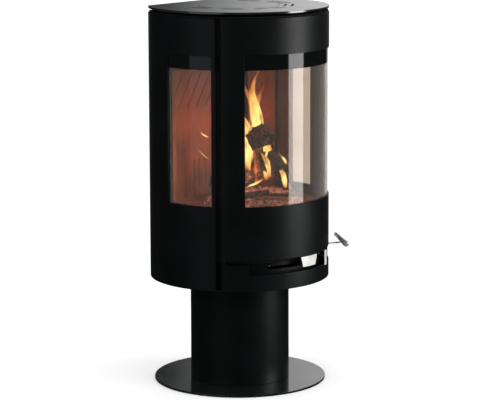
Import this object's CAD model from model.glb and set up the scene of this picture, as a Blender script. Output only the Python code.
"""Looks of the wood burning stove: finishes, fine pieces, fire, light and camera.

Metres, +Z up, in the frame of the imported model. Angles are in degrees about the axis of the round
front, measured from the front (-Y) and positive towards +X.
"""

import math
import random

import bmesh
import bpy
from mathutils import Matrix, Vector, noise


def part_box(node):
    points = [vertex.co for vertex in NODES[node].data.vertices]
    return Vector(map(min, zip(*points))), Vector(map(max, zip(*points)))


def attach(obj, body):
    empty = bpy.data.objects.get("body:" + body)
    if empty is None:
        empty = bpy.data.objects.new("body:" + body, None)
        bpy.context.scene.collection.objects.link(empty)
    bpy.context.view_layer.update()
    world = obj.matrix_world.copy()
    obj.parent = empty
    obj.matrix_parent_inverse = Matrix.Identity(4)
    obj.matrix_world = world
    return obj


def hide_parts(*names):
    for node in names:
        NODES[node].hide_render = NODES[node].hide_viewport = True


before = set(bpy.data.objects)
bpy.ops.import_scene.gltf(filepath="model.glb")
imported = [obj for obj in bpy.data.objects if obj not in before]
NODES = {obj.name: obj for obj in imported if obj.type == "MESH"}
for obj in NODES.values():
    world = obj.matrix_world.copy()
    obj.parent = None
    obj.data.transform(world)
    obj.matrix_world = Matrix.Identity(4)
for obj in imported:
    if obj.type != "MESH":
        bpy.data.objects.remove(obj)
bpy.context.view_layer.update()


# ---------------------------------------------------------------- places taken from the CAD


def polar(radius, angle, height=0.0):
    """Point at a radius and an angle from the front, at a height."""
    turn = math.radians(angle)
    return Vector((radius * math.sin(turn), -radius * math.cos(turn), height))


def radii_of(node):
    """Largest and smallest distance of a node's points from the axis."""
    reach = [vert.co.xy.length for vert in NODES[node].data.vertices]
    return max(reach), min(reach)


def angles_of(node):
    """Smallest and largest angle of a node's points about the axis."""
    turns = [math.degrees(math.atan2(v.co.x, -v.co.y)) for v in NODES[node].data.vertices]
    return min(turns), max(turns)


def heights_of(node):
    """Lowest and highest point of a node."""
    low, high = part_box(node)
    return low.z, high.z


# ---------------------------------------------------------------- material helpers


def linked(data):
    """New object in the scene, named after its data."""
    item = bpy.data.objects.new(data.name, data)
    bpy.context.scene.collection.objects.link(item)
    return item


def colour(code):
    """Linear colour from an sRGB hex code."""
    parts = [int(code[i : i + 2], 16) / 255.0 for i in (1, 3, 5)]
    linear = [c / 12.92 if c <= 0.04045 else ((c + 0.055) / 1.055) ** 2.4 for c in parts]
    return (*linear, 1.0)


def put(tree, kind, inputs=None, **settings):
    """Add a node, set its settings, and fill its inputs with values or links."""
    item = tree.nodes.new(kind)
    for name, value in settings.items():
        setattr(item, name, value)
    for name, value in (inputs or {}).items():
        socket = item.inputs[name]
        if isinstance(value, bpy.types.NodeSocket):
            tree.links.new(value, socket)
        else:
            socket.default_value = value
    return item


def maths(tree, operation, first, second):
    """Sum, difference or product of two values."""
    return put(tree, "ShaderNodeMath", {0: first, 1: second}, operation=operation).outputs["Value"]


def blended(tree, factor, first, second):
    """Colour that goes from the first to the second with the factor."""
    inputs = {"Factor": factor, 6: first, 7: second}
    return put(tree, "ShaderNodeMix", inputs, data_type="RGBA").outputs[2]


def either(tree, factor, first, second):
    """Shader that goes from the first to the second with the factor."""
    return put(tree, "ShaderNodeMixShader", {"Fac": factor, 1: first, 2: second}).outputs["Shader"]


def coated(tree, inputs):
    """Principled shader with its inputs filled."""
    return put(tree, "ShaderNodeBsdfPrincipled", inputs).outputs["BSDF"]


def new_material(name):
    """Empty material with its node tree."""
    material = bpy.data.materials.new(name)
    material.use_nodes = True
    material.node_tree.nodes.clear()
    return material, material.node_tree


def finished(material, shader):
    """Join a shader to the material's output."""
    put(material.node_tree, "ShaderNodeOutputMaterial", {"Surface": shader})
    return material


def object_point(tree):
    """Object coordinates in metres."""
    return put(tree, "ShaderNodeTexCoord").outputs["Object"]


def part_of(tree, vector, axis):
    """One component of a vector."""
    return put(tree, "ShaderNodeSeparateXYZ", {"Vector": vector}).outputs[axis]


def noise_at(tree, size, detail=3.0, point=None, stretch=None):
    """Noise whose features are about the given size in metres."""
    place = point or object_point(tree)
    if stretch:
        place = put(tree, "ShaderNodeMapping", {"Vector": place, "Scale": stretch}).outputs["Vector"]
    inputs = {"Vector": place, "Scale": 1.0 / size, "Detail": detail}
    return put(tree, "ShaderNodeTexNoise", inputs).outputs["Fac"]


def ramp(tree, value, *stops):
    """Colour ramp through (position, hex colour) stops."""
    item = put(tree, "ShaderNodeValToRGB", {"Fac": value})
    elements = item.color_ramp.elements
    while len(elements) < len(stops):
        elements.new(0.5)
    for element, (position, code) in zip(elements, stops):
        element.position = position
        element.color = colour(code)
    return item.outputs["Color"]


def spread(tree, value, low, high, start=0.3, end=0.7):
    """Map a value between start and end to low and high."""
    inputs = {"Value": value, "From Min": start, "From Max": end, "To Min": low, "To Max": high}
    return put(tree, "ShaderNodeMapRange", inputs, clamp=True).outputs["Result"]


def bump(tree, height, depth):
    """Bump of a depth in metres."""
    return put(tree, "ShaderNodeBump", {"Height": height, "Distance": depth}).outputs["Normal"]


def painted(name, tones, roughness, grain=0.0009, depth=0.00006, gloss=1.5):
    """Stove paint: sprayed, so finely pebbled, with slow changes of sheen."""
    material, tree = new_material(name)
    slow = noise_at(tree, 0.11, 4.0)
    dust = noise_at(tree, 0.012, 5.0)
    sheen = maths(tree, "ADD", spread(tree, slow, *roughness), spread(tree, dust, -0.02, 0.03))
    inputs = {
        "Base Color": ramp(tree, slow, (0.35, tones[0]), (0.68, tones[1])),
        "Roughness": sheen,
        "IOR": gloss,
        "Normal": bump(tree, noise_at(tree, grain, 2.0), depth),
    }
    return finished(material, coated(tree, inputs))


def metal(name, tones, roughness, stretch, depth=0.00001, marks=0.0012, bare=1.0):
    """Metal with fine marks drawn out along one way; bare below one shows as a dulled surface."""
    material, tree = new_material(name)
    lines = noise_at(tree, marks, 3.0, stretch=stretch)
    slow = noise_at(tree, 0.03, 3.0)
    inputs = {
        "Base Color": ramp(tree, slow, (0.3, tones[0]), (0.7, tones[1])),
        "Metallic": bare,
        "Roughness": maths(tree, "ADD", spread(tree, lines, *roughness), spread(tree, slow, -0.03, 0.05)),
        "Normal": bump(tree, lines, depth),
    }
    return finished(material, coated(tree, inputs))


def cast_iron_finish():
    """Sand-cast iron: grainy, dark grey, with rust-brown ash stain."""
    material, tree = new_material("cast_iron")
    grain = noise_at(tree, 0.0025, 5.0)
    stain = noise_at(tree, 0.035, 4.0)
    inputs = {
        "Base Color": ramp(tree, stain, (0.35, "#1c1a19"), (0.55, "#2b2522"), (0.75, "#4a3a30")),
        "Metallic": 0.4,
        "Roughness": spread(tree, grain, 0.6, 0.85),
        "Normal": bump(tree, grain, 0.0004),
    }
    return finished(material, coated(tree, inputs))


def vermiculite_finish():
    """Pressed vermiculite board: flaky buff grain, stained by smoke and sooted at the top."""
    material, tree = new_material("vermiculite_board")
    point = object_point(tree)
    flakes = put(tree, "ShaderNodeTexVoronoi", {"Vector": point, "Scale": 260.0}).outputs["Distance"]
    stain = noise_at(tree, 0.09, 5.0, point)
    body = ramp(tree, stain, (0.30, "#6b2f18"), (0.46, "#a84f26"), (0.60, "#c05c2c"), (0.74, "#cc6e38"))
    speck = blended(tree, spread(tree, flakes, 0.0, 0.55, 0.1, 0.6), body, colour("#6a2f16"))
    soot_line = maths(tree, "ADD", part_of(tree, point, "Z"), spread(tree, stain, -0.06, 0.06))
    soot = spread(tree, soot_line, 0.0, 0.75, 0.74, 0.93)
    inputs = {
        "Base Color": blended(tree, soot, speck, colour("#1c1410")),
        "Roughness": 0.92,
        "Normal": bump(tree, noise_at(tree, 0.006, 4.0, point), 0.0006),
    }
    return finished(material, coated(tree, inputs))


# Height above which the panes carry a black enamel band
ENAMEL_FROM = 0.896


def glass_finish(name, tint, soot_tint, smoked=None):
    """Ceramic stove glass with a fired black enamel band at its top, and a breath of smoke.

    smoked is where, from front to back in metres, the stain along the side board begins and thins.
    """
    material, tree = new_material(name)
    point = object_point(tree)
    seen = ramp(tree, noise_at(tree, 0.12, 4.0, point), (0.35, tint), (0.70, soot_tint))
    if smoked:
        depth = part_of(tree, point, "Y")
        begins = spread(tree, depth, 0.0, 1.0, smoked[0] - 0.002, smoked[0] + 0.002)
        thins = spread(tree, depth, 0.0, 1.0, smoked[1] - 0.003, smoked[1] + 0.003)
        stain = blended(tree, thins, colour("#3a1d14"), colour("#a87250"))
        seen = blended(tree, begins, seen, stain)
    clear = coated(tree, {"Base Color": seen, "Roughness": 0.0, "IOR": 1.5, "Transmission Weight": 1.0})
    see_through = put(tree, "ShaderNodeBsdfTransparent", {"Color": colour(tint)}).outputs["BSDF"]
    shadow = put(tree, "ShaderNodeLightPath").outputs["Is Shadow Ray"]
    enamel = coated(tree, {"Base Color": colour("#080a0a"), "Roughness": 0.07, "IOR": 1.62})
    height = part_of(tree, point, "Z")
    band = spread(tree, height, 0.0, 1.0, ENAMEL_FROM - 0.0006, ENAMEL_FROM + 0.0006)
    return finished(material, either(tree, band, either(tree, shadow, clear, see_through), enamel))


def rope_finish():
    """Knitted glass-fibre rope, black with grey threads."""
    material, tree = new_material("glass_fibre_rope")
    thread = noise_at(tree, 0.0012, 4.0)
    inputs = {
        "Base Color": ramp(tree, thread, (0.35, "#141414"), (0.55, "#2c2b29"), (0.72, "#55524c")),
        "Roughness": 0.9,
        "Sheen Weight": 0.3,
        "Normal": bump(tree, thread, 0.0004),
    }
    return finished(material, coated(tree, inputs))


def wood_finish(name, woods, char, charring, glow):
    """Split firewood that has burnt: brown grain under scaly char, with glowing cracks."""
    material, tree = new_material(name)
    point = object_point(tree)
    grain = noise_at(tree, 0.006, 4.0, point, stretch=(0.25, 1.0, 1.0))
    cells = {"Vector": point, "Scale": 85.0}
    scales = put(tree, "ShaderNodeTexVoronoi", cells, feature="DISTANCE_TO_EDGE").outputs["Distance"]
    patches = noise_at(tree, 0.045, 4.0, point)
    wood = ramp(tree, grain, (0.30, woods[1]), (0.65, woods[0]))
    coal = ramp(tree, noise_at(tree, 0.004, 4.0, point), (0.35, char), (0.75, "#2a2422"))
    crack = spread(tree, scales, 1.0, 0.0, 0.01, 0.07)
    hot = maths(tree, "MULTIPLY", crack, spread(tree, patches, 0.0, 1.0, 0.5, 0.62))
    inputs = {
        "Base Color": blended(tree, spread(tree, patches, 0.0, 1.0, *charring), wood, coal),
        "Roughness": 0.9,
        "Emission Color": colour("#ff6a1c"),
        "Emission Strength": maths(tree, "MULTIPLY", hot, glow),
        "Normal": bump(tree, spread(tree, scales, 0.0, 1.0, 0.0, 0.15), 0.0025),
    }
    return finished(material, coated(tree, inputs))


def ember_finish():
    """Glowing coals under a skin of pale ash."""
    material, tree = new_material("embers")
    heat = noise_at(tree, 0.016, 5.0)
    ash = noise_at(tree, 0.004, 4.0)
    inputs = {
        "Base Color": ramp(tree, ash, (0.30, "#241a17"), (0.50, "#7a625a"), (0.72, "#b9a49c")),
        "Roughness": 0.95,
        "Emission Color": ramp(tree, heat, (0.35, "#4a140c"), (0.52, "#c0503a"), (0.70, "#f09a80")),
        "Emission Strength": spread(tree, heat, 0.02, 0.55, 0.42, 0.66),
        "Normal": bump(tree, ash, 0.0015),
    }
    return finished(material, coated(tree, inputs))


FLAME_TONES = ((0.0, "#f0903c"), (0.22, "#ffd98c"), (0.55, "#ffcf78"), (0.80, "#f2a04c"), (1.0, "#d86a2c"))


def flame_finish():
    """Flame: light without a surface, deep orange at the root and tip and pale in its body."""
    material, tree = new_material("flame")
    rise = put(tree, "ShaderNodeAttribute", attribute_name="rise").outputs["Fac"]
    wisps = noise_at(tree, 0.016, 3.0, stretch=(1.0, 1.0, 0.30))
    glow = {"Color": ramp(tree, rise, *FLAME_TONES), "Strength": spread(tree, wisps, 1.2, 2.6)}
    light = put(tree, "ShaderNodeEmission", glow).outputs["Emission"]
    clear = put(tree, "ShaderNodeBsdfTransparent").outputs["BSDF"]
    root = spread(tree, rise, 0.3, 1.0, 0.0, 0.14)
    fade = spread(tree, rise, 0.90, 0.0, 0.35, 1.0)
    thick = maths(tree, "MULTIPLY", spread(tree, wisps, 0.10, 0.80, 0.36, 0.60), root)
    return finished(material, either(tree, maths(tree, "MULTIPLY", thick, fade), clear, light))


# Satin stove paint on rolled sheet, sprayed and cured by the first fires
PAINT = painted("satin_black_paint", ("#010405", "#030709"), (0.36, 0.43), gloss=1.45)
# Harder, smoother coat on the laser-cut top and base plates
PLATE_TONES = ("#0c1211", "#131a18")
PLATE_PAINT = painted("graphite_plate_paint", PLATE_TONES, (0.12, 0.17), depth=0.00002, gloss=2.5)
# Dull high-temperature paint on the welded firebox
INNER_PAINT = painted("matt_firebox_paint", ("#050505", "#0c0a09"), (0.75, 0.9), 0.0016, 0.0002)
# Cold-rolled zinc-plated sheet
ZINC = metal("zinc_plated_steel", ("#8d8f8c", "#aeb0ab"), (0.28, 0.42), (1.0, 1.0, 1.0), marks=0.004)
# Polished, then chrome plated
CHROME = metal("polished_chrome", ("#c9c9c4", "#dcdcd6"), (0.10, 0.18), (1.0, 1.0, 14.0), bare=0.75)
# Fine-ground stainless plate of the two tabs
GROUND_TONES = ("#dcdcd4", "#e9e9e3")
BRUSHED = metal("ground_stainless", GROUND_TONES, (0.26, 0.38), (1.0, 1.0, 18.0), 0.00002, bare=0.35)
IRON = cast_iron_finish()
BOARD = vermiculite_finish()
DOOR_GLASS = glass_finish("ceramic_door_glass", "#efe6da", "#e8dccb")
SIDE_GLASS = glass_finish("ceramic_side_glass", "#efe6da", "#e8dccb")
# Pane dulled by smoke all over and browned along the side board
SMOKED_GLASS = glass_finish("smoked_side_glass", "#c4b9b1", "#bdb0a5", (-0.002, 0.050))
ROPE = rope_finish()
CHAR = wood_finish("charred_log", ("#6a4630", "#33211a"), "#0c0909", (0.34, 0.48), 0.25)
SPLIT_WOOD = wood_finish("half_burnt_split_wood", ("#94643c", "#5c3820"), "#120d0a", (0.52, 0.68), 0.2)
EMBERS = ember_finish()
FLAME = flame_finish()


# ---------------------------------------------------------------- modelling helpers


def object_from(name, bm, material, smooth_angle=35.0):
    """Turn a bmesh into an object with one material."""
    bmesh.ops.recalc_face_normals(bm, faces=bm.faces[:])
    mesh = bpy.data.meshes.new(name)
    bm.to_mesh(mesh)
    bm.free()
    mesh.shade_smooth()
    mesh.set_sharp_from_angle(angle=math.radians(smooth_angle))
    mesh.materials.append(material)
    return linked(mesh)


def settled(item, smooth_angle=35.0):
    """Turn an object's modifiers or curve into a plain mesh at the origin."""
    graph = bpy.context.evaluated_depsgraph_get()
    graph.update()
    mesh = bpy.data.meshes.new_from_object(item.evaluated_get(graph), depsgraph=graph)
    mesh.transform(item.matrix_world)
    name = item.name
    materials = [slot.material for slot in item.material_slots]
    bpy.data.objects.remove(item, do_unlink=True)
    if not mesh.materials:
        for material in materials:
            mesh.materials.append(material)
    mesh.shade_smooth()
    mesh.set_sharp_from_angle(angle=math.radians(smooth_angle))
    done = linked(mesh)
    done.name = name
    return done


def round_edges(item, width, segments=2):
    """Round the sharp edges of an object."""
    if width > 0.0:
        bevel = item.modifiers.new("edges", "BEVEL")
        bevel.width = width
        bevel.segments = segments
        bevel.limit_method = "ANGLE"
        bevel.angle_limit = math.radians(40.0)
        bevel.use_clamp_overlap = False
    return settled(item)


def true_round(item):
    """Give the curved faces of a rolled piece the normals of a perfect cylinder."""
    mesh = item.data
    normals = [None] * len(mesh.loops)
    for face in mesh.polygons:
        for index in face.loop_indices:
            point = mesh.vertices[mesh.loops[index].vertex_index].co
            outward = Vector((point.x, point.y, 0.0)).normalized()
            lean = face.normal.dot(outward)
            if abs(lean) > 0.985:
                normals[index] = outward * (1.0 if lean > 0.0 else -1.0)
            else:
                normals[index] = face.normal
    mesh.normals_split_custom_set(normals)
    return item


def give(item, body, slot, *nodes):
    """Fix a piece to a body, name its slot and the nodes that it stands for."""
    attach(item, body)
    if nodes:
        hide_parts(*nodes)
    return item


def columns_between(start, end, step):
    """Angles from start to end, no further apart than the step."""
    count = max(1, math.ceil((end - start) / step - 1e-6))
    return [start + (end - start) * i / count for i in range(count + 1)]


def thickened(bm, radii):
    """Give a sheet at the outer radius its thickness, inwards."""
    grown = bmesh.ops.extrude_face_region(bm, geom=bm.faces[:])["geom"]
    for vert in (g for g in grown if isinstance(g, bmesh.types.BMVert)):
        vert.co.xy *= radii[1] / radii[0]


def rolled(name, node, material, opening=None, corner=0.0, edge=0.0005, step=1.0):
    """Rolled sheet in a node's place; opening is (angles, heights) with rounded corners."""
    radii, angles, heights = radii_of(node), angles_of(node), heights_of(node)
    corner_turn = math.degrees(corner / radii[0])
    if opening:
        (left, right), (sill, head) = opening
        bends = [left + corner_turn * (1.0 - math.cos(math.radians(t))) for t in range(0, 91, 18)]
        bends += [right - corner_turn * (1.0 - math.cos(math.radians(t))) for t in range(90, -1, -18)]
        columns = columns_between(angles[0], left, step)[:-1] + bends[:6]
        columns += columns_between(bends[5], bends[6], step)[1:-1] + bends[6:]
        columns += columns_between(right, angles[1], step)[1:]
        if corner <= 0.0:
            columns = sorted(set(columns))
    else:
        columns = columns_between(*angles, step)
    bm = bmesh.new()
    grid = []
    for angle in columns:
        rise = corner
        if opening and left <= angle <= right and corner > 0.0:
            in_from_edge = min(1.0, min(angle - left, right - angle) / corner_turn)
            rise = corner * (1.0 - math.sqrt(1.0 - (1.0 - in_from_edge) ** 2))
        levels = [heights[0], heights[1]]
        if opening:
            levels = [heights[0], sill + rise, head - rise, heights[1]]
        grid.append([bm.verts.new(polar(radii[0], angle, level)) for level in levels])
    for i, (first, second) in enumerate(zip(grid, grid[1:])):
        middle = (columns[i] + columns[i + 1]) / 2.0
        for j in range(len(first) - 1):
            if opening and j == 1 and left < middle < right:
                continue
            bm.faces.new((first[j], second[j], second[j + 1], first[j + 1]))
    thickened(bm, radii)
    return true_round(round_edges(object_from(name, bm, material), edge))


def plate(name, outlines, low, high, material, edge=0.0006):
    """Lying flat plate with rounded edges; inner outlines are holes."""
    curve = bpy.data.curves.new(name, "CURVE")
    curve.dimensions = "2D"
    curve.fill_mode = "BOTH"
    curve.extrude = (high - low) / 2.0 - edge
    curve.bevel_depth = edge
    curve.bevel_resolution = 2
    curve.offset = -edge
    for outline in outlines:
        spline = curve.splines.new("POLY")
        spline.points.add(len(outline) - 1)
        for point, place in zip(spline.points, outline):
            point.co = (place[0], place[1], 0.0, 1.0)
        spline.use_cyclic_u = True
    curve.materials.append(material)
    item = linked(curve)
    item.location.z = (low + high) / 2.0
    bpy.context.view_layer.update()
    return settled(item, 30.0)


def circle(radius, centre=(0.0, 0.0), sides=180):
    """Round outline."""
    turns = [math.tau * i / sides for i in range(sides)]
    return [(centre[0] + radius * math.cos(t), centre[1] + radius * math.sin(t)) for t in turns]


def cut_circle(radius, back, step=1.0):
    """Round outline cut straight across at the back."""
    end = math.degrees(math.acos(-back / radius))
    return [polar(radius, angle).xy for angle in columns_between(-end, end, step)]


def arc_slot(radii, angles, step=1.5):
    """Slot along an arc with half-round ends."""
    middle = sum(radii) / 2.0
    half = (radii[1] - radii[0]) / 2.0
    end_turn = math.degrees(half / middle)
    start, end = angles[0] + end_turn, angles[1] - end_turn
    outline = [polar(radii[1], a).xy for a in columns_between(start, end, step)]
    for side, first in ((end, 1.0), (start, -1.0)):
        centre = polar(middle, side).xy
        out = polar(1.0, side).xy * first
        along = polar(1.0, side + 90.0).xy * first
        for turn in (30.0, 60.0, 90.0, 120.0, 150.0):
            t = math.radians(turn)
            outline.append(centre + (out * math.cos(t) + along * math.sin(t)) * half)
        if first > 0.0:
            outline += [polar(radii[0], a).xy for a in reversed(columns_between(start, end, step))]
    return outline


def join_rings(bm, rings):
    """Faces between each ring of points and the next; a ring may be one point repeated."""
    for first, second in zip(rings, rings[1:]):
        for i in range(len(first)):
            j = (i + 1) % len(first)
            corners = list(dict.fromkeys((first[i], first[j], second[j], second[i])))
            if len(corners) > 2:
                bm.faces.new(corners)


def lathe(name, profile, material, centre=(0.0, 0.0, 0.0), axis=(0.0, 0.0, 1.0), sides=160):
    """Closed profile of (radius, height) points turned about an axis."""
    bm = bmesh.new()
    turns = [math.tau * i / sides for i in range(sides)]
    rings = [
        [bm.verts.new((radius * math.cos(t), radius * math.sin(t), height)) for t in turns]
        for radius, height in profile
    ]
    join_rings(bm, rings + rings[:1])
    turn = Vector(axis).to_track_quat("Z", "Y").to_matrix().to_4x4()
    bmesh.ops.transform(bm, matrix=Matrix.Translation(centre) @ turn, verts=bm.verts[:])
    return object_from(name, bm, material, 30.0)


def loft(rings):
    """Closed skin through rings of equally many points, with capped ends."""
    bm = bmesh.new()
    loops = [[bm.verts.new(point) for point in ring] for ring in rings]
    join_rings(bm, loops)
    bm.faces.new(list(reversed(loops[0])))
    bm.faces.new(loops[-1])
    return bm


def box_mesh(bm, low, high, place=None):
    """Add a box between two corners."""
    size = Vector(high) - Vector(low)
    centre = (Vector(high) + Vector(low)) / 2.0
    matrix = (place or Matrix.Identity(4)) @ Matrix.Translation(centre) @ Matrix.Diagonal((*size, 1.0))
    bmesh.ops.create_cube(bm, size=1.0, matrix=matrix)


def refinish(material, slot_nodes):
    """Give CAD nodes that stay in view a finish."""
    for node in slot_nodes:
        NODES[node].data.materials.clear()
        NODES[node].data.materials.append(material)


# ---------------------------------------------------------------- Geometry Nodes for what repeats


def scatter_tree(name, part, material, spacing=None, density=None, low=1.0, high=1.0, seed=0):
    """Node tree that sets copies of a part along edges, on points or over faces."""
    tree = bpy.data.node_groups.new(name, "GeometryNodeTree")
    face = tree.interface
    face.new_socket("Geometry", in_out="INPUT", socket_type="NodeSocketGeometry")
    size_in = face.new_socket("Part Size", in_out="INPUT", socket_type="NodeSocketFloat")
    seed_in = face.new_socket("Seed", in_out="INPUT", socket_type="NodeSocketInt")
    face.new_socket("Geometry", in_out="OUTPUT", socket_type="NodeSocketGeometry")
    size_in.default_value = 1.0
    seed_in.default_value = seed
    entry = tree.nodes.new("NodeGroupInput")
    exit_node = tree.nodes.new("NodeGroupOutput")
    geometry = entry.outputs["Geometry"]
    if spacing:
        curve = put(tree, "GeometryNodeMeshToCurve", {"Mesh": geometry})
        points = put(tree, "GeometryNodeCurveToPoints", {"Curve": curve.outputs["Curve"]}, mode="LENGTH")
        points.inputs["Length"].default_value = spacing
        place, turn = points.outputs["Points"], points.outputs["Rotation"]
    elif density:
        points = put(
            tree,
            "GeometryNodeDistributePointsOnFaces",
            {"Mesh": geometry, "Density": density, "Seed": entry.outputs["Seed"]},
        )
        place, turn = points.outputs["Points"], points.outputs["Rotation"]
        spin = put(
            tree,
            "FunctionNodeRandomValue",
            {0: (0.0, 0.0, 0.0), 1: (6.3, 6.3, 6.3), "Seed": entry.outputs["Seed"]},
            data_type="FLOAT_VECTOR",
        )
        turn = spin.outputs[0]
    else:
        points = put(tree, "GeometryNodeMeshToPoints", {"Mesh": geometry})
        named = put(tree, "GeometryNodeInputNamedAttribute", {"Name": "facing"}, data_type="FLOAT_VECTOR")
        turned_to = put(
            tree, "FunctionNodeAlignRotationToVector", {"Vector": named.outputs["Attribute"]}, axis="Z"
        )
        place, turn = points.outputs["Points"], turned_to.outputs["Rotation"]
    source = put(tree, "GeometryNodeObjectInfo", {"Object": part})
    scale = put(
        tree, "FunctionNodeRandomValue", {2: low, 3: high, "Seed": entry.outputs["Seed"]}, data_type="FLOAT"
    )
    sized = put(
        tree, "ShaderNodeMath", {0: scale.outputs[1], 1: entry.outputs["Part Size"]}, operation="MULTIPLY"
    )
    copies = put(
        tree,
        "GeometryNodeInstanceOnPoints",
        {
            "Points": place,
            "Instance": source.outputs["Geometry"],
            "Rotation": turn,
            "Scale": sized.outputs["Value"],
        },
    )
    real = put(tree, "GeometryNodeRealizeInstances", {"Geometry": copies.outputs["Instances"]})
    dressed = {"Geometry": real.outputs["Geometry"], "Material": material}
    done = put(tree, "GeometryNodeSetMaterial", dressed)
    tree.links.new(done.outputs["Geometry"], exit_node.inputs["Geometry"])
    return tree


def repeated(name, guide, tree, part_size=1.0, seed=1):
    """Run a scatter tree on a guide object and keep the result as a plain mesh."""
    modifier = guide.modifiers.new("copies", "NODES")
    modifier.node_group = tree
    sockets = {s.name: s.identifier for s in tree.interface.items_tree if s.in_out == "INPUT"}
    modifier[sockets["Part Size"]] = part_size
    modifier[sockets["Seed"]] = seed
    guide.name = name
    done = settled(guide, 45.0)
    done.name = name
    return done


def guide_path(points, closed=True):
    """Edge path for copies along a line."""
    mesh = bpy.data.meshes.new("path")
    edges = [(i, i + 1) for i in range(len(points) - 1)]
    if closed:
        edges.append((len(points) - 1, 0))
    mesh.from_pydata(points, edges, [])
    return linked(mesh)


def guide_points(places):
    """Points that carry the direction each copy faces."""
    mesh = bpy.data.meshes.new("points")
    mesh.from_pydata([place for place, _ in places], [], [])
    facing = mesh.attributes.new("facing", "FLOAT_VECTOR", "POINT")
    for value, (_, direction) in zip(facing.data, places):
        value.vector = direction
    return linked(mesh)


def used_part(item):
    """Remove the object that copies were made from."""
    bpy.data.objects.remove(item, do_unlink=True)


# ---------------------------------------------------------------- outer steel

EDGE = 0.0006
SHEET_CORNER = 0.003
DOOR_WINDOW = ((-47.6, 47.6), (0.5270, 0.9370))
SIDE_WINDOW = ((68.6, 101.6), (0.5260, 0.9340))
SIDES = (("left", -1.0), ("right", 1.0))
# Half the turn of the control recess, and its lower edge above the fascia's
RECESS_ANGLE = 45.6
RECESS_SILL = 0.044
# Turn from the front to the seams beside the door
SEAM_ANGLE = 60.4


def mirrored(angles, sign):
    """Angles on one side, in rising order."""
    return tuple(sorted(angle * sign for angle in angles))


def build_skins():
    """Door skin, side panels and fascia as smooth rolled sheets."""
    door = rolled("door_skin", "door_panel", PAINT, DOOR_WINDOW, SHEET_CORNER, EDGE)
    give(door, "door", "black_steel", "door_panel")
    for side, sign in SIDES:
        node = side + "_side_panel"
        window = (mirrored(SIDE_WINDOW[0], sign), SIDE_WINDOW[1])
        panel = rolled(side + "_skin", node, PAINT, window, SHEET_CORNER, EDGE)
        give(panel, "root", "black_steel", node)
    low, high = heights_of("lower_fascia")
    radii = radii_of("lower_fascia")
    start, end = angles_of("lower_fascia")
    columns = columns_between(start, -RECESS_ANGLE, 1.0)
    columns += columns_between(1.0 - RECESS_ANGLE, RECESS_ANGLE - 1.0, 1.0)
    columns += columns_between(RECESS_ANGLE, end, 1.0)
    bm = bmesh.new()
    levels = (low, low + RECESS_SILL, high)
    grid = [[bm.verts.new(polar(radii[0], angle, z)) for z in levels] for angle in columns]
    for i, (first, second) in enumerate(zip(grid, grid[1:])):
        middle = (columns[i] + columns[i + 1]) / 2.0
        for j in range(2):
            if j == 1 and abs(middle) < RECESS_ANGLE:
                continue
            bm.faces.new((first[j], second[j], second[j + 1], first[j + 1]))
    loose = [vert for vert in bm.verts if not vert.link_faces]
    bmesh.ops.delete(bm, geom=loose, context="VERTS")
    thickened(bm, radii)
    fascia = true_round(round_edges(object_from("fascia_skin", bm, PAINT), EDGE))
    give(fascia, "root", "black_steel", "lower_fascia")


def build_recess_ends():
    """Black end walls of the control recess, just inside the seams."""
    low, high = heights_of("lower_fascia")
    reach = radii_of("lower_fascia")[1] - 0.0004
    start = radii_of("plinth_wall")[0] + 0.0004
    for side, sign in SIDES:
        bm = bmesh.new()
        place = Matrix.Rotation(math.radians(SEAM_ANGLE * sign), 4, "Z")
        box_mesh(bm, (-0.001, -reach, low + 0.004), (0.001, -start, high), place)
        give(object_from(side + "_recess_end", bm, INNER_PAINT), "root", "inner_black")


COLUMN_WALL = 0.003
COLUMN_FLANGE = 0.040
COLUMN_ROUND = 0.0006
COLUMN_OPENING = (0.100, 0.120)
COLUMN_OPENING_SILL = 0.020


def build_stand():
    """Round base plate and the welded column."""
    low, high = heights_of("base_plate")
    radius = radii_of("base_plate")[0]
    base = plate("base_disc", [circle(radius)], low, high, PLATE_PAINT, 0.0008)
    give(base, "root", "plate_steel", "base_plate")
    low, high = heights_of("pedestal_column")
    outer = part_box("pedestal_column")[1].x
    inner, flange = outer - COLUMN_WALL, outer - COLUMN_FLANGE
    profile = [
        (outer, high - COLUMN_ROUND),
        (outer, low + COLUMN_ROUND),
        (outer - COLUMN_ROUND, low),
        (flange, low),
        (flange, low + COLUMN_WALL),
        (inner, low + COLUMN_WALL),
        (inner, high - COLUMN_WALL),
        (flange, high - COLUMN_WALL),
        (flange, high),
        (outer - COLUMN_ROUND, high),
    ]
    column = lathe("column_tube", profile, PAINT, sides=180)
    cutter_bm = bmesh.new()
    sill = low + COLUMN_OPENING_SILL
    half = COLUMN_OPENING[0] / 2.0
    box_mesh(cutter_bm, (-half, outer / 2.0, sill), (half, outer * 1.5, sill + COLUMN_OPENING[1]))
    cutter = object_from("opening_cutter", cutter_bm, PAINT)
    boolean = column.modifiers.new("opening", "BOOLEAN")
    boolean.operation = "DIFFERENCE"
    boolean.solver = "EXACT"
    boolean.object = cutter
    tube = true_round(settled(column))
    bpy.data.objects.remove(cutter, do_unlink=True)
    give(tube, "root", "black_steel", "pedestal_column")


TOP_SLOT_RINGS = ((0.126, 0.133), (0.146, 0.153))
TOP_SLOT_ANGLES = ((-72, -46), (-34, 6), (18, 44), (56, 92), (104, 130), (-112, -84))


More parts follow.
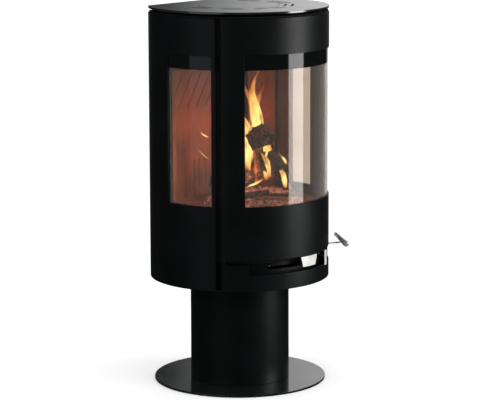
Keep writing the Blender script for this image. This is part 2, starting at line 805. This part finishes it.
def build_top():
    """Slotted top plate, flue cover and the smooth tube of the flue outlet."""
    low, high = heights_of("top_plate")
    radius = radii_of("top_plate")[0]
    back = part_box("top_plate")[1].y
    cover_radius = radii_of("flue_cover")[0]
    slots = [arc_slot(radii, angles) for radii in TOP_SLOT_RINGS for angles in TOP_SLOT_ANGLES]
    outlines = [cut_circle(radius, back), circle(cover_radius + 0.0012), *slots]
    give(plate("top_sheet", outlines, low, high, PLATE_PAINT), "root", "plate_steel", "top_plate")
    cover = plate("cover_disc", [circle(cover_radius)], low, high, PLATE_PAINT)
    give(cover, "flue_cover", "plate_steel", "flue_cover")
    low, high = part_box("flue_spigot")
    centre_z = (low.z + high.z) / 2.0
    collar = (high.z - low.z) / 2.0
    tube, bore = 0.075, 0.073
    reach = high.y - low.y
    profile = [
        (bore, 0.0),
        (collar, 0.0),
        (collar, 0.0030),
        (tube, 0.0032),
        (tube, reach - 0.016),
        (tube + 0.0012, reach - 0.0145),
        (tube + 0.0012, reach - 0.0125),
        (tube, reach - 0.011),
        (tube, reach - 0.0004),
        (tube - 0.0004, reach),
        (bore + 0.0004, reach),
        (bore, reach - 0.0004),
    ]
    spigot = lathe("flue_tube", profile, INNER_PAINT, (0.0, low.y, centre_z), (0.0, 1.0, 0.0))
    give(spigot, "root", "inner_black", "flue_spigot")


def build_glass():
    """Curved panes with ground edges."""
    for node, material, body in (
        ("door_glass", DOOR_GLASS, "door"),
        ("left_side_glass", SIDE_GLASS, "root"),
        ("right_side_glass", SMOKED_GLASS, "root"),
    ):
        give(rolled(node + "_pane", node, material, edge=0.0004), body, "stove_glass", node)


FRONT_FRAME_OPENING = ((-51.0, 51.0), (0.4000, 0.9650))
SIDE_WALL_TURN = (67.7, 101.6)
# How much wider and higher the door frame's hole is than the glass, in degrees and metres
FRAME_PLAY = (0.07, 0.0003)


def build_firebox_shell():
    """Inner frame, walls and door frame, rolled smooth."""
    (left, right), (low, high) = angles_of("door_glass"), heights_of("door_glass")
    turn_play, height_play = FRAME_PLAY
    frame_hole = ((left - turn_play, right + turn_play), (low - height_play, high + height_play))
    for node, body, hole, corner in (
        ("door_frame", "door", frame_hole, 0.0),
        ("glass_retainer", "door", DOOR_WINDOW, 0.0),
        ("front_frame", "root", FRONT_FRAME_OPENING, 0.004),
        ("left_side_wall", "root", (mirrored(SIDE_WALL_TURN, -1.0), SIDE_WINDOW[1]), 0.002),
        ("right_side_wall", "root", (SIDE_WALL_TURN, SIDE_WINDOW[1]), 0.002),
    ):
        sheet = rolled(node + "_sheet", node, INNER_PAINT, hole, corner, 0.0004, 2.0)
        give(sheet, body, "inner_black", node)


# ---------------------------------------------------------------- braided rope seals


def rope_strand():
    """One turn of a rope's outer strand: a short slanted bead."""
    bm = bmesh.new()
    bmesh.ops.create_uvsphere(bm, u_segments=10, v_segments=6, radius=1.0)
    slant = Matrix.Rotation(math.radians(38.0), 4, "X")
    bmesh.ops.transform(bm, matrix=slant @ Matrix.Diagonal((0.5, 1.0, 0.62, 1.0)), verts=bm.verts[:])
    return object_from("strand", bm, ROPE, 80.0)


def seal_path(radius, angles, heights, inset):
    """Loop along the middle of a curved seal."""
    turn = math.degrees(inset / radius)
    left, right = angles[0] + turn, angles[1] - turn
    low, high = heights[0] + inset, heights[1] - inset
    across = columns_between(left, right, 2.0)
    path = [polar(radius, angle, low) for angle in across]
    path += [polar(radius, right, z) for z in columns_between(low, high, 0.02)[1:]]
    path += [polar(radius, angle, high) for angle in reversed(across[:-1])]
    path += [polar(radius, left, z) for z in reversed(columns_between(low, high, 0.02)[1:-1])]
    return path


def build_seals():
    """Door rope and the two side glass ropes, as rows of overlapping twisted strands."""
    strand = rope_strand()
    for node, body, half in (
        ("door_seal", "door", 0.0043),
        ("left_glass_seal", "root", 0.0034),
        ("right_glass_seal", "root", 0.0034),
    ):
        outer, inner = radii_of(node)
        middle = (outer + inner) / 2.0
        thin = (outer - inner) / 2.0
        path = seal_path(middle, angles_of(node), heights_of(node), half + 0.0004)
        tree = scatter_tree(node + "_braid", strand, ROPE, spacing=half * 0.62)
        rope = repeated(node + "_rope", guide_path(path), tree, half)
        for vert in rope.data.vertices:
            reach = vert.co.xy.length
            offset = max(-1.0, min(1.0, (reach - middle) / half))
            vert.co.xy *= (middle + offset * thin) / reach
        give(rope, body, "rope_seal", node)
    used_part(strand)


# ---------------------------------------------------------------- firebox boards, grate and fire

GROOVE_PITCH = 0.040
GROOVE_LEAN = 0.64
GROOVE_WIDTH = 0.0028
GROOVE_DEPTH = 0.0050


def grooved_board(node, lines):
    """Board with grooves pressed into its front; lines are (start, end) points as (x, height)."""
    low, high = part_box(node)
    bm = bmesh.new()
    box_mesh(bm, low, high)
    board = object_from(node + "_pressed", bm, BOARD)
    cutter_bm = bmesh.new()
    for start, end in lines:
        run = Vector((end[0] - start[0], 0.0, end[1] - start[1]))
        lean = math.atan2(run.x, run.z)
        middle = Vector(((start[0] + end[0]) / 2.0, low.y, (start[1] + end[1]) / 2.0))
        place = Matrix.Translation(middle) @ Matrix.Rotation(lean, 4, "Y")
        half = run.length / 2.0
        box_mesh(
            cutter_bm,
            (-GROOVE_WIDTH / 2.0, -0.01, -half),
            (GROOVE_WIDTH / 2.0, GROOVE_DEPTH, half),
            place,
        )
    cutter = object_from("groove_cutter", cutter_bm, BOARD)
    boolean = board.modifiers.new("grooves", "BOOLEAN")
    boolean.operation = "DIFFERENCE"
    boolean.solver = "EXACT"
    boolean.object = cutter
    done = round_edges(board, 0.0011, 1)
    bpy.data.objects.remove(cutter, do_unlink=True)
    give(done, "root", "fire_board", node)


def build_boards():
    """Back boards with their pressed pattern; the other boards keep their plain shape."""
    low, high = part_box("back_board_upper")
    bottom, top = low.z + 0.012, high.z - 0.014
    edge = 0.012
    leaning = []
    start = low.x + edge - 2.0 * GROOVE_PITCH + 0.005
    while start < high.x - edge:
        first = max(start, low.x + edge)
        last = min(start + (top - bottom) * GROOVE_LEAN, high.x - edge)
        begin = (first, bottom + (first - start) / GROOVE_LEAN)
        end = (last, bottom + (last - start) / GROOVE_LEAN)
        if end[1] - begin[1] > edge:
            leaning.append((begin, end))
        start += GROOVE_PITCH
    grooved_board("back_board_upper", leaning)
    low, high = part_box("back_board_lower")
    upright = []
    for across in (-0.178, -0.135, -0.089, -0.050, -0.028, -0.002, 0.026, 0.050, 0.089, 0.135, 0.178):
        upright.append(((across, low.z + 0.010), (across, low.z + 0.113)))
    grooved_board("back_board_lower", upright)
    refinish(BOARD, ["left_side_board", "right_side_board", "hearth_board", "baffle"])


LOG_LOOKS = {
    # seed, move from the CAD log's place, section corners as (across, up)
    "log_top": (
        11,
        (0.004, -0.006, 0.013),
        ((0.040, 0.004), (0.003, 0.036), (-0.024, 0.027))
        + ((-0.041, 0.003), (-0.024, -0.035), (0.029, -0.014)),
    ),
    "log_right": (
        23,
        (-0.006, 0.008, 0.006),
        ((-0.034, 0.029), (-0.003, 0.034), (0.034, -0.006))
        + ((0.029, -0.017), (-0.003, -0.029), (-0.025, -0.014)),
    ),
    "log_left": (
        37,
        (0.002, 0.000, 0.004),
        ((0.030, 0.006), (0.006, 0.028), (-0.026, 0.020), (-0.030, -0.012), (0.004, -0.027)),
    ),
}
SECTION_POINTS = 64
STEP_ALONG = 0.0035


def section_outline(corners):
    """Evenly spaced points round a many-cornered section, as (across, up)."""
    points = [Vector(corner) for corner in corners]
    sides = list(zip(points, points[1:] + points[:1]))
    lengths = [(end - start).length for start, end in sides]
    total = sum(lengths)
    outline = []
    for i in range(SECTION_POINTS):
        want = total * i / SECTION_POINTS
        for (start, end), length in zip(sides, lengths):
            if want <= length:
                outline.append(start.lerp(end, want / length))
                break
            want -= length
    return outline


def split_log(name, start, end, outline, material, seed, rough=0.005):
    """Split log: an angular section that wanders along its length, with cracked, broken ends."""
    start, end = Vector(start), Vector(end)
    along = (end - start).normalized()
    side = along.cross(Vector((0.0, 0.0, 1.0))).normalized()
    up = side.cross(along).normalized()
    length = (end - start).length
    half = max(point.length for point in outline)
    steps = max(10, int(length / STEP_ALONG))
    shift = Vector((seed * 1.7, seed * 0.6, 0.0))
    shares = [0.0, 0.0, 0.0] + [k / steps for k in range(steps + 1)] + [1.0, 1.0, 1.0]
    sizes = [0.02, 0.35, 0.75] + [1.0] * (steps + 1) + [0.75, 0.35, 0.02]
    rings = []
    for share, size in zip(shares, sizes):
        wander = noise.noise(Vector((share * 2.5, seed, 0.0))) * half * 0.18
        middle = start + along * (length * share) + side * wander
        end_distance = min(share, 1.0 - share) * length
        rounding = min(1.0, 0.90 + 0.10 * end_distance / (half * 0.25 + 1e-6))
        ring = []
        for flat in outline:
            outward = side * flat.x + up * flat.y
            point = middle + outward * size * rounding
            direction = outward.normalized()
            long_grain = point - along * point.dot(along) * 0.75
            wave = noise.noise(long_grain * 55.0 + shift) * rough
            check = abs(noise.noise(point * 75.0 + shift)) * rough * 0.9
            crumb = noise.noise(point * 260.0 + shift) * rough * 0.30
            point += direction * (wave - check + crumb) * size
            if end_distance < 1e-6:
                face = noise.noise(point * 120.0 + shift) * rough * 1.1
                point += along * (face if share < 0.5 else -face)
            ring.append(point)
        rings.append(ring)
    return object_from(name, loft(rings), material, 42.0)


def log_axis(node):
    """Ends of a CAD log, from its corners."""
    points = [vert.co.copy() for vert in NODES[node].data.vertices]
    centre = sum(points, Vector()) / len(points)
    far = max(points, key=lambda p: (p - centre).length)
    along = (far - centre).normalized()
    for _ in range(12):
        total = Vector()
        for point in points:
            offset = point - centre
            total += offset * offset.dot(along)
        along = total.normalized()
    reaches = [(p - centre).dot(along) for p in points]
    return centre + along * min(reaches), centre + along * max(reaches)


KINDLING = (
    # start, end, half width, burnt through, seed
    ((0.0060, -0.0630, 0.560), (0.0040, -0.0620, 0.662), 0.0115, False, 5),
    ((0.0620, 0.0200, 0.540), (0.0860, -0.0100, 0.640), 0.0100, True, 6),
    ((-0.0870, -0.1300, 0.5370), (-0.0300, -0.2020, 0.5330), 0.0060, False, 7),
    ((-0.0620, -0.1180, 0.5400), (0.0100, -0.1900, 0.5380), 0.0048, True, 8),
    ((0.0000, -0.1600, 0.5330), (0.0900, -0.1300, 0.5390), 0.0050, True, 9),
    ((-0.1050, -0.0800, 0.5360), (-0.0550, -0.1500, 0.5480), 0.0080, True, 10),
    ((0.0350, -0.1650, 0.5330), (0.1150, -0.0850, 0.5420), 0.0065, False, 12),
)


def build_logs():
    """Burning logs in place of the plain CAD ones, and the kindling among them."""
    for node, (seed, move, corners) in LOG_LOOKS.items():
        start, end = log_axis(node)
        ends = (start + Vector(move), end + Vector(move))
        start, end = sorted(ends, key=lambda p: p.dot(Vector(ROOM_AHEAD)))
        log = split_log(node + "_burning", start, end, section_outline(corners), CHAR, seed)
        give(log, "root", "charred_wood", node)
    chance = random.Random(3)
    for i, (start, end, half, burnt, seed) in enumerate(KINDLING):
        corners = []
        for turn in range(20, 360, 72):
            a = math.radians(turn + chance.uniform(-14.0, 14.0))
            reach = half * chance.uniform(0.85, 1.25)
            corners.append((reach * math.cos(a), reach * math.sin(a)))
        outline = section_outline(corners)
        wood = CHAR if burnt else SPLIT_WOOD
        give(split_log(f"kindling_{i}", start, end, outline, wood, seed, 0.0022), "root", "charred_wood")


def build_embers():
    """Heap of glowing coals on the grate, with loose pieces scattered over it."""
    low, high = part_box("ember_bed")
    middle = (low + high) / 2.0
    foot = (high.x - low.x) / 2.0
    bm = bmesh.new()
    bmesh.ops.create_circle(bm, cap_ends=False, segments=72, radius=foot)
    rim = bm.edges[:]
    ring_count = 22
    for i in range(ring_count):
        grown = bmesh.ops.extrude_edge_only(bm, edges=rim)["geom"]
        verts = [g for g in grown if isinstance(g, bmesh.types.BMVert)]
        rim = [g for g in grown if isinstance(g, bmesh.types.BMEdge)]
        share = 1.0 - (i + 1) / ring_count
        for vert in verts:
            flat = vert.co.xy.normalized() * foot * max(share, 0.004)
            vert.co = Vector((flat.x, flat.y, 0.0))
    bmesh.ops.contextual_create(bm, geom=rim)
    for vert in bm.verts:
        share = min(1.0, (foot - vert.co.xy.length) / (foot * 0.32))
        lift = (high.z - low.z) * 1.35 * math.sin(share * math.pi / 2.0)
        here = vert.co + middle
        lift += noise.noise(here * 55.0) * 0.005 * share + noise.noise(here * 140.0) * 0.0025 * share
        vert.co = Vector((here.x, here.y, low.z + max(0.0, lift)))
    under = bmesh.ops.extrude_face_region(bm, geom=bm.faces[:])["geom"]
    for vert in (g for g in under if isinstance(g, bmesh.types.BMVert)):
        vert.co.z = low.z - 0.0001
    heap = object_from("coal_heap", bm, EMBERS, 60.0)
    give(heap, "root", "embers", "ember_bed")
    guide = linked(heap.data.copy())
    coal_bm = bmesh.new()
    bmesh.ops.create_icosphere(coal_bm, subdivisions=2, radius=1.0)
    for vert in coal_bm.verts:
        vert.co *= 1.0 + 0.35 * noise.noise(vert.co * 1.7)
        vert.co.z *= 0.7
    coal = object_from("coal", coal_bm, EMBERS, 30.0)
    tree = scatter_tree("coal_scatter", coal, EMBERS, density=5200.0, low=0.35, high=1.25)
    coals = repeated("loose_coals", guide, tree, 0.0072, 4)
    for vert in coals.data.vertices:
        vert.co.z = max(vert.co.z, low.z)
    give(coals, "root", "embers")
    used_part(coal)


FLAMES = (
    # foot, tip, width, sway, seed
    ((-0.002, -0.030, 0.585), (0.004, -0.036, 0.850), 0.060, 0.5, 3),
    ((-0.030, -0.010, 0.560), (-0.020, -0.020, 0.815), 0.062, 0.5, 4),
    ((0.030, -0.030, 0.640), (0.055, -0.032, 0.890), 0.050, 0.6, 5),
    ((0.012, -0.062, 0.660), (0.020, -0.050, 0.840), 0.044, 0.5, 6),
    ((-0.047, -0.148, 0.590), (-0.061, -0.128, 0.668), 0.024, 0.3, 7),
    ((-0.034, -0.120, 0.640), (-0.028, -0.128, 0.684), 0.013, 0.2, 8),
    ((-0.1016, -0.1008, 0.5640), (-0.0500, -0.1600, 0.5990), 0.007, 0.9, 9),
    ((-0.0235, -0.1850, 0.6270), (-0.0370, -0.1650, 0.6660), 0.010, 0.3, 10),
    ((0.060, -0.050, 0.560), (0.075, -0.040, 0.720), 0.036, 0.5, 11),
    ((0.030, -0.140, 0.550), (0.026, -0.120, 0.630), 0.018, 0.4, 12),
    ((-0.080, -0.040, 0.545), (-0.066, -0.030, 0.680), 0.032, 0.5, 13),
    ((-0.0467, 0.0720, 0.6210), (-0.0680, 0.1060, 0.6490), 0.006, 0.7, 14),
    ((-0.0470, 0.0720, 0.6810), (-0.0640, 0.1000, 0.7000), 0.005, 0.7, 15),
    ((0.000, 0.030, 0.570), (0.020, 0.050, 0.840), 0.070, 0.6, 16),
    ((0.070, 0.020, 0.590), (0.060, 0.030, 0.800), 0.048, 0.5, 17),
)


def flame_tongue(name, foot, tip, width, sway, seed):
    """Tongue of flame: a flat-sided spindle that sways from its foot to its tip."""
    foot, tip = Vector(foot), Vector(tip)
    chance = random.Random(seed)
    swing = chance.uniform(0.0, math.tau)
    length = (tip - foot).length
    along = (tip - foot).normalized()
    side = along.cross(Vector((0.3, 1.0, 0.2))).normalized()
    other = side.cross(along)
    rings = []
    steps = 36
    for k in range(steps + 1):
        share = k / steps
        body = math.sin(math.pi * min(1.0, share * 0.86 + 0.12)) ** 0.9 * (1.0 - share) ** 0.45
        half = max(0.0002, width * 0.5 * body)
        drift = math.sin(swing + share * 6.0) * width * sway * share
        centre = foot + along * length * share + side * drift
        spin = share * 1.6 + swing
        ring = []
        for i in range(20):
            t = math.tau * i / 20
            flat_x = math.cos(t) * half
            flat_y = math.sin(t) * half * 0.5
            wobble = 1.0 + 0.35 * noise.noise(Vector((math.cos(t), math.sin(t) + share * 7.0, seed)))
            across = flat_x * math.cos(spin) - flat_y * math.sin(spin)
            aside = flat_x * math.sin(spin) + flat_y * math.cos(spin)
            ring.append(centre + (side * across + other * aside) * wobble)
        rings.append(ring)
    item = object_from(name, loft(rings), FLAME, 80.0)
    rise = item.data.attributes.new("rise", "FLOAT", "POINT")
    for vert, value in zip(item.data.vertices, rise.data):
        value.value = (vert.co - foot).dot(along) / length
    return item


def build_flames():
    """All flames."""
    for i, place in enumerate(FLAMES):
        give(flame_tongue(f"flame_{i}", *place), "root", "embers")


# ---------------------------------------------------------------- controls, handle, fixings


def build_controls():
    """Tapered air tab, upright start-air tab and the rounded pull rod."""
    outer, inner = radii_of("lever_tab")
    start, end = angles_of("lever_tab")
    low, high = heights_of("lever_tab")
    taper = math.degrees(0.0075 / outer)
    flat = columns_between(start + taper, end - taper, 1.0)
    columns = [start, start + taper * 0.5, *flat, end - taper * 0.5, end]
    bm = bmesh.new()
    grid = []
    for angle in columns:
        side = min(angle - start, end - angle)
        foot = low + max(0.0, 1.0 - side / taper) * (high - low) * 0.9
        grid.append([bm.verts.new(polar(outer, angle, z)) for z in (foot, high)])
    for first, second in zip(grid, grid[1:]):
        bm.faces.new((first[0], second[0], second[1], first[1]))
    thickened(bm, (outer, inner))
    tab = true_round(round_edges(object_from("air_tab", bm, BRUSHED), 0.0004))
    give(tab, "air_control", "polished_steel", "lever_tab")
    refinish(ZINC, ["air_lever", "air_valve_plate", "start_air_gate"])
    refinish(BRUSHED, ["start_air_tab"])
    refinish(PAINT, ["start_air_rod"])


HANDLE_ANGLE = 47.6
GRIP_LENGTH = 0.155
# Radius of the grip's far end, and how far its near end stands out over the CAD grip's
GRIP_THIN = 0.0062
GRIP_SWELL = 0.0006
# The lever's half width and the centre of its round tip, from the axis
LEVER_HALF_WIDTH = 0.007
LEVER_TIP = 0.2835


def grip_rings(start, end, radii, dome=0.0045, sides=56):
    """Rings of a tapered round bar with domed ends."""
    along = (end - start).normalized()
    side = along.cross(Vector((0.0, 0.0, 1.0))).normalized()
    up = side.cross(along)
    length = (end - start).length
    shape = ((0.0, 0.30), (0.18, 0.62), (0.5, 0.86), (1.0, 1.0))
    first = [(dome * at, radii[0] * reach) for at, reach in shape]
    last = [(length - dome * at, radii[1] * reach) for at, reach in reversed(shape)]
    rings = []
    for along_by, reach in first + last:
        ring = []
        for i in range(sides):
            t = math.tau * i / sides
            ring.append(start + along * along_by + (side * math.cos(t) + up * math.sin(t)) * reach)
        rings.append(ring)
    return rings


def build_handle():
    """Chromed grip with rounded ends and the flat lever with its rounded tip."""
    low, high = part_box("handle_grip")
    centre = (low + high) / 2.0
    tangent = Vector((math.cos(math.radians(HANDLE_ANGLE)), math.sin(math.radians(HANDLE_ANGLE)), 0.0))
    half = GRIP_LENGTH / 2.0
    thick = (high.z - low.z) / 2.0 + GRIP_SWELL
    rings = grip_rings(centre - tangent * half, centre + tangent * half, (thick, GRIP_THIN))
    grip = object_from("grip_bar", loft(rings), CHROME, 40.0)
    give(grip, "door_handle", "polished_steel", "handle_grip")
    lever_low, lever_high = heights_of("handle_lever")
    reach = radii_of("handle_lever")
    outline = []
    for t in columns_between(-90.0, 90.0, 15.0):
        a = math.radians(t)
        outline.append((LEVER_HALF_WIDTH * math.sin(a), -(LEVER_TIP + LEVER_HALF_WIDTH * math.cos(a))))
    outline += [(LEVER_HALF_WIDTH, -reach[1] - 0.001), (-LEVER_HALF_WIDTH, -reach[1] - 0.001)]
    turn = math.radians(HANDLE_ANGLE)
    turned = Matrix.Rotation(turn, 2)
    outline = [turned @ Vector(point) for point in outline]
    lever = plate("lever_bar", [outline], lever_low, lever_high, CHROME, 0.0004)
    give(lever, "door_handle", "polished_steel", "handle_lever")
    refinish(ZINC, ["handle_shaft"])
    hinges = ["hinge_pin_bottom", "hinge_pin_top", "hinge_leaf_bottom", "hinge_leaf_top"]
    refinish(PAINT, hinges + ["handle_hanger", "hinge_bracket_bottom"])


def screw_head():
    """Button head with a hexagon socket, facing +Z, one unit in radius."""
    bm = bmesh.new()
    profile = [(0.0, 0.42), (0.40, 0.42), (0.46, 0.78), (0.62, 0.74)]
    profile += [(0.84, 0.52), (0.97, 0.22), (1.0, 0.0)]
    turns = [math.tau * i / 24 for i in range(24)]
    rings = []
    for radius, height in profile:
        if radius == 0.0:
            rings.append([bm.verts.new((0.0, 0.0, height))] * len(turns))
            continue
        ring = []
        for t in turns:
            reach = radius
            if radius <= 0.46:
                reach *= math.cos(math.pi / 6.0) / math.cos((t % (math.pi / 3.0)) - math.pi / 6.0)
            ring.append(bm.verts.new((reach * math.cos(t), reach * math.sin(t), height)))
        rings.append(ring)
    join_rings(bm, rings)
    bm.faces.new(rings[-1])
    return object_from("screw", bm, ZINC, 30.0)


PLINTH_SCREW_ANGLE = 30.5
PLINTH_SCREW_HEIGHT = 0.3585


def build_screws():
    """Screws of the rear shield and the plinth."""
    screw = screw_head()
    tree = scatter_tree("screw_set", screw, ZINC)
    low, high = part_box("rear_panel")
    across = high.x - 0.012
    back = high.y
    places = []
    for z in (low.z + 0.02, (low.z + high.z) / 2.0 - 0.12, (low.z + high.z) / 2.0 + 0.12, high.z - 0.02):
        for x in (-across, across):
            places.append((Vector((x, back, z)), Vector((0.0, 1.0, 0.0))))
    rear = repeated("rear_screws", guide_points(places), tree, 0.0042)
    give(rear, "root", "bare_steel")
    wall = radii_of("plinth_wall")[0]
    places = []
    for angle in (-PLINTH_SCREW_ANGLE, PLINTH_SCREW_ANGLE):
        places.append((polar(wall, angle, PLINTH_SCREW_HEIGHT), polar(1.0, angle)))
    front = repeated("plinth_screws", guide_points(places), tree, 0.0034)
    give(front, "root", "bare_steel")
    used_part(screw)


HIDDEN_STEEL = (
    "body_floor firebox_base firebox_back body_lid top_blank top_spacer_front top_spacer_left "
    "top_spacer_rear hearth_plate air_inlet_spigot air_valve_box"
)


def finish_kept_nodes():
    """Finishes of the CAD nodes that stay in view."""
    refinish(INNER_PAINT, HIDDEN_STEEL.split())
    refinish(PAINT, ["rear_panel", "plinth_wall"])
    refinish(ZINC, ["ash_pan"])
    refinish(IRON, ["grate"])


# ---------------------------------------------------------------- room, light and camera


# The camera's level directions, by which the room's bright and dark sides are set out
ROOM_RIGHT = (0.6085, -0.7936, 0.0)
ROOM_AHEAD = (0.7936, 0.6085, 0.0)
SKY_LEVEL = 1.22


def mirrored_rays(tree):
    """1 for light that reaches here by a mirror-like reflection, 0 straight or through glass."""
    path = put(tree, "ShaderNodeLightPath").outputs
    straight = maths(tree, "SUBTRACT", 1.0, path["Is Transmission Ray"])
    return maths(tree, "MULTIPLY", path["Is Glossy Ray"], straight)


def share_along(tree, direction, way):
    """How far a direction points along a way."""
    inputs = {0: direction, 1: way}
    return put(tree, "ShaderNodeVectorMath", inputs, operation="DOT_PRODUCT").outputs["Value"]


def levels_between(tree, factor, first, second):
    """Value that goes from the first to the second with the factor."""
    inputs = {"Factor": factor, 2: first, 3: second}
    return put(tree, "ShaderNodeMix", inputs, data_type="FLOAT").outputs[0]


def build_floor():
    """Pale floor, white to the eye; its mirror image in the paint is dim."""
    bm = bmesh.new()
    bmesh.ops.create_grid(bm, x_segments=1, y_segments=1, size=30.0)
    material, tree = new_material("white_paper_floor")
    paper = put(tree, "ShaderNodeBsdfDiffuse", {"Color": (0.96, 0.96, 0.96, 1.0)}).outputs["BSDF"]
    point = object_point(tree)
    way = put(tree, "ShaderNodeVectorMath", {0: point}, operation="NORMALIZE").outputs["Vector"]
    far_wall = spread(tree, share_along(tree, way, ROOM_AHEAD), 0.006, 0.50, 0.90, 0.995)
    dim = put(tree, "ShaderNodeBsdfDiffuse", {"Color": far_wall}).outputs["BSDF"]
    floor = object_from("floor", bm, finished(material, either(tree, mirrored_rays(tree), paper, dim)))
    floor.location.z = -0.0004


def build_world():
    """White studio; the part that the paint mirrors is bright to the rear right, dark to the left."""
    world = bpy.data.worlds.new("studio")
    bpy.context.scene.world = world
    world.use_nodes = True
    tree = world.node_tree
    tree.nodes.clear()
    direction = put(tree, "ShaderNodeTexCoord").outputs["Generated"]
    right = share_along(tree, direction, ROOM_RIGHT)
    ahead = share_along(tree, direction, ROOM_AHEAD)
    up = part_of(tree, direction, "Z")
    dark_side = spread(tree, up, 0.13, 0.01, 0.05, 0.16)
    side = levels_between(tree, spread(tree, right, 0.0, 1.0, -0.055, 0.01), dark_side, 0.90)
    level = maths(tree, "MULTIPLY", side, spread(tree, ahead, 0.01, 1.0, 0.72, 0.95))
    level = maths(tree, "MULTIPLY", level, spread(tree, up, 0.0, 1.0, -0.05, 0.02))
    level = maths(tree, "ADD", level, 0.008)
    soft = levels_between(tree, mirrored_rays(tree), SKY_LEVEL, level)
    white = {"Color": (1.0, 1.0, 1.0, 1.0), "Strength": soft}
    background = put(tree, "ShaderNodeBackground", white).outputs["Background"]
    put(tree, "ShaderNodeOutputWorld", {"Surface": background})


def area_light(name, place, target, size, radiance, tint=(1.0, 1.0, 1.0)):
    """Rectangular soft light with a given brightness."""
    data = bpy.data.lights.new(name, "AREA")
    data.shape = "RECTANGLE"
    data.size, data.size_y = size
    data.energy = radiance * math.pi * size[0] * size[1]
    data.color = tint
    item = linked(data)
    item.location = place
    item.rotation_euler = (Vector(target) - Vector(place)).to_track_quat("-Z", "Y").to_euler()
    return item


def fire_light(name, place, power):
    """Warm light from inside the fire."""
    data = bpy.data.lights.new(name, "POINT")
    data.energy = power
    data.shadow_soft_size = 0.035
    data.color = (1.0, 0.46, 0.20)
    item = linked(data)
    item.location = place
    item.visible_camera = False
    item.visible_transmission = False
    item.visible_glossy = False
    return item


def build_lights():
    """Tall soft box to the right of the front, a dim panel to the left and the light of the fire."""
    area_light("tall_softbox", (1.27, -2.73, 1.16), (0.0, 0.0, 1.16), (1.25, 2.3), 3.9)
    area_light("side_panel", (-3.20, 0.14, 1.25), (0.0, 0.0, 1.25), (2.6, 2.4), 0.24, (0.90, 0.95, 1.0))
    fire_light("fire_low", (-0.02, -0.06, 0.580), 0.95)
    fire_light("fire_high", (0.02, -0.05, 0.710), 2.3)


CAMERA_PLACE = (-4.6712, -3.7606, 1.5578)
# Degrees from +X towards +Y, and above the level
CAMERA_YAW = 37.484
CAMERA_PITCH = -8.908


def build_camera():
    """Long lens from the left of the front, a little above the top plate."""
    data = bpy.data.cameras.new("camera")
    data.lens = 156.64
    data.sensor_width = 36.0
    data.shift_x = -0.08
    data.shift_y = -0.08
    camera = linked(data)
    camera.location = CAMERA_PLACE
    yaw, pitch = math.radians(CAMERA_YAW), math.radians(CAMERA_PITCH)
    ahead = Vector((math.cos(yaw) * math.cos(pitch), math.sin(yaw) * math.cos(pitch), math.sin(pitch)))
    camera.rotation_euler = ahead.to_track_quat("-Z", "Y").to_euler()
    bpy.context.scene.camera = camera
    bpy.context.scene.view_settings.view_transform = "Standard"


def main():
    """Build everything that the camera sees."""
    finish_kept_nodes()
    build_skins()
    build_recess_ends()
    build_stand()
    build_top()
    build_glass()
    build_firebox_shell()
    build_seals()
    build_boards()
    build_logs()
    build_embers()
    build_flames()
    build_controls()
    build_handle()
    build_screws()
    build_floor()
    build_world()
    build_lights()
    build_camera()


main()
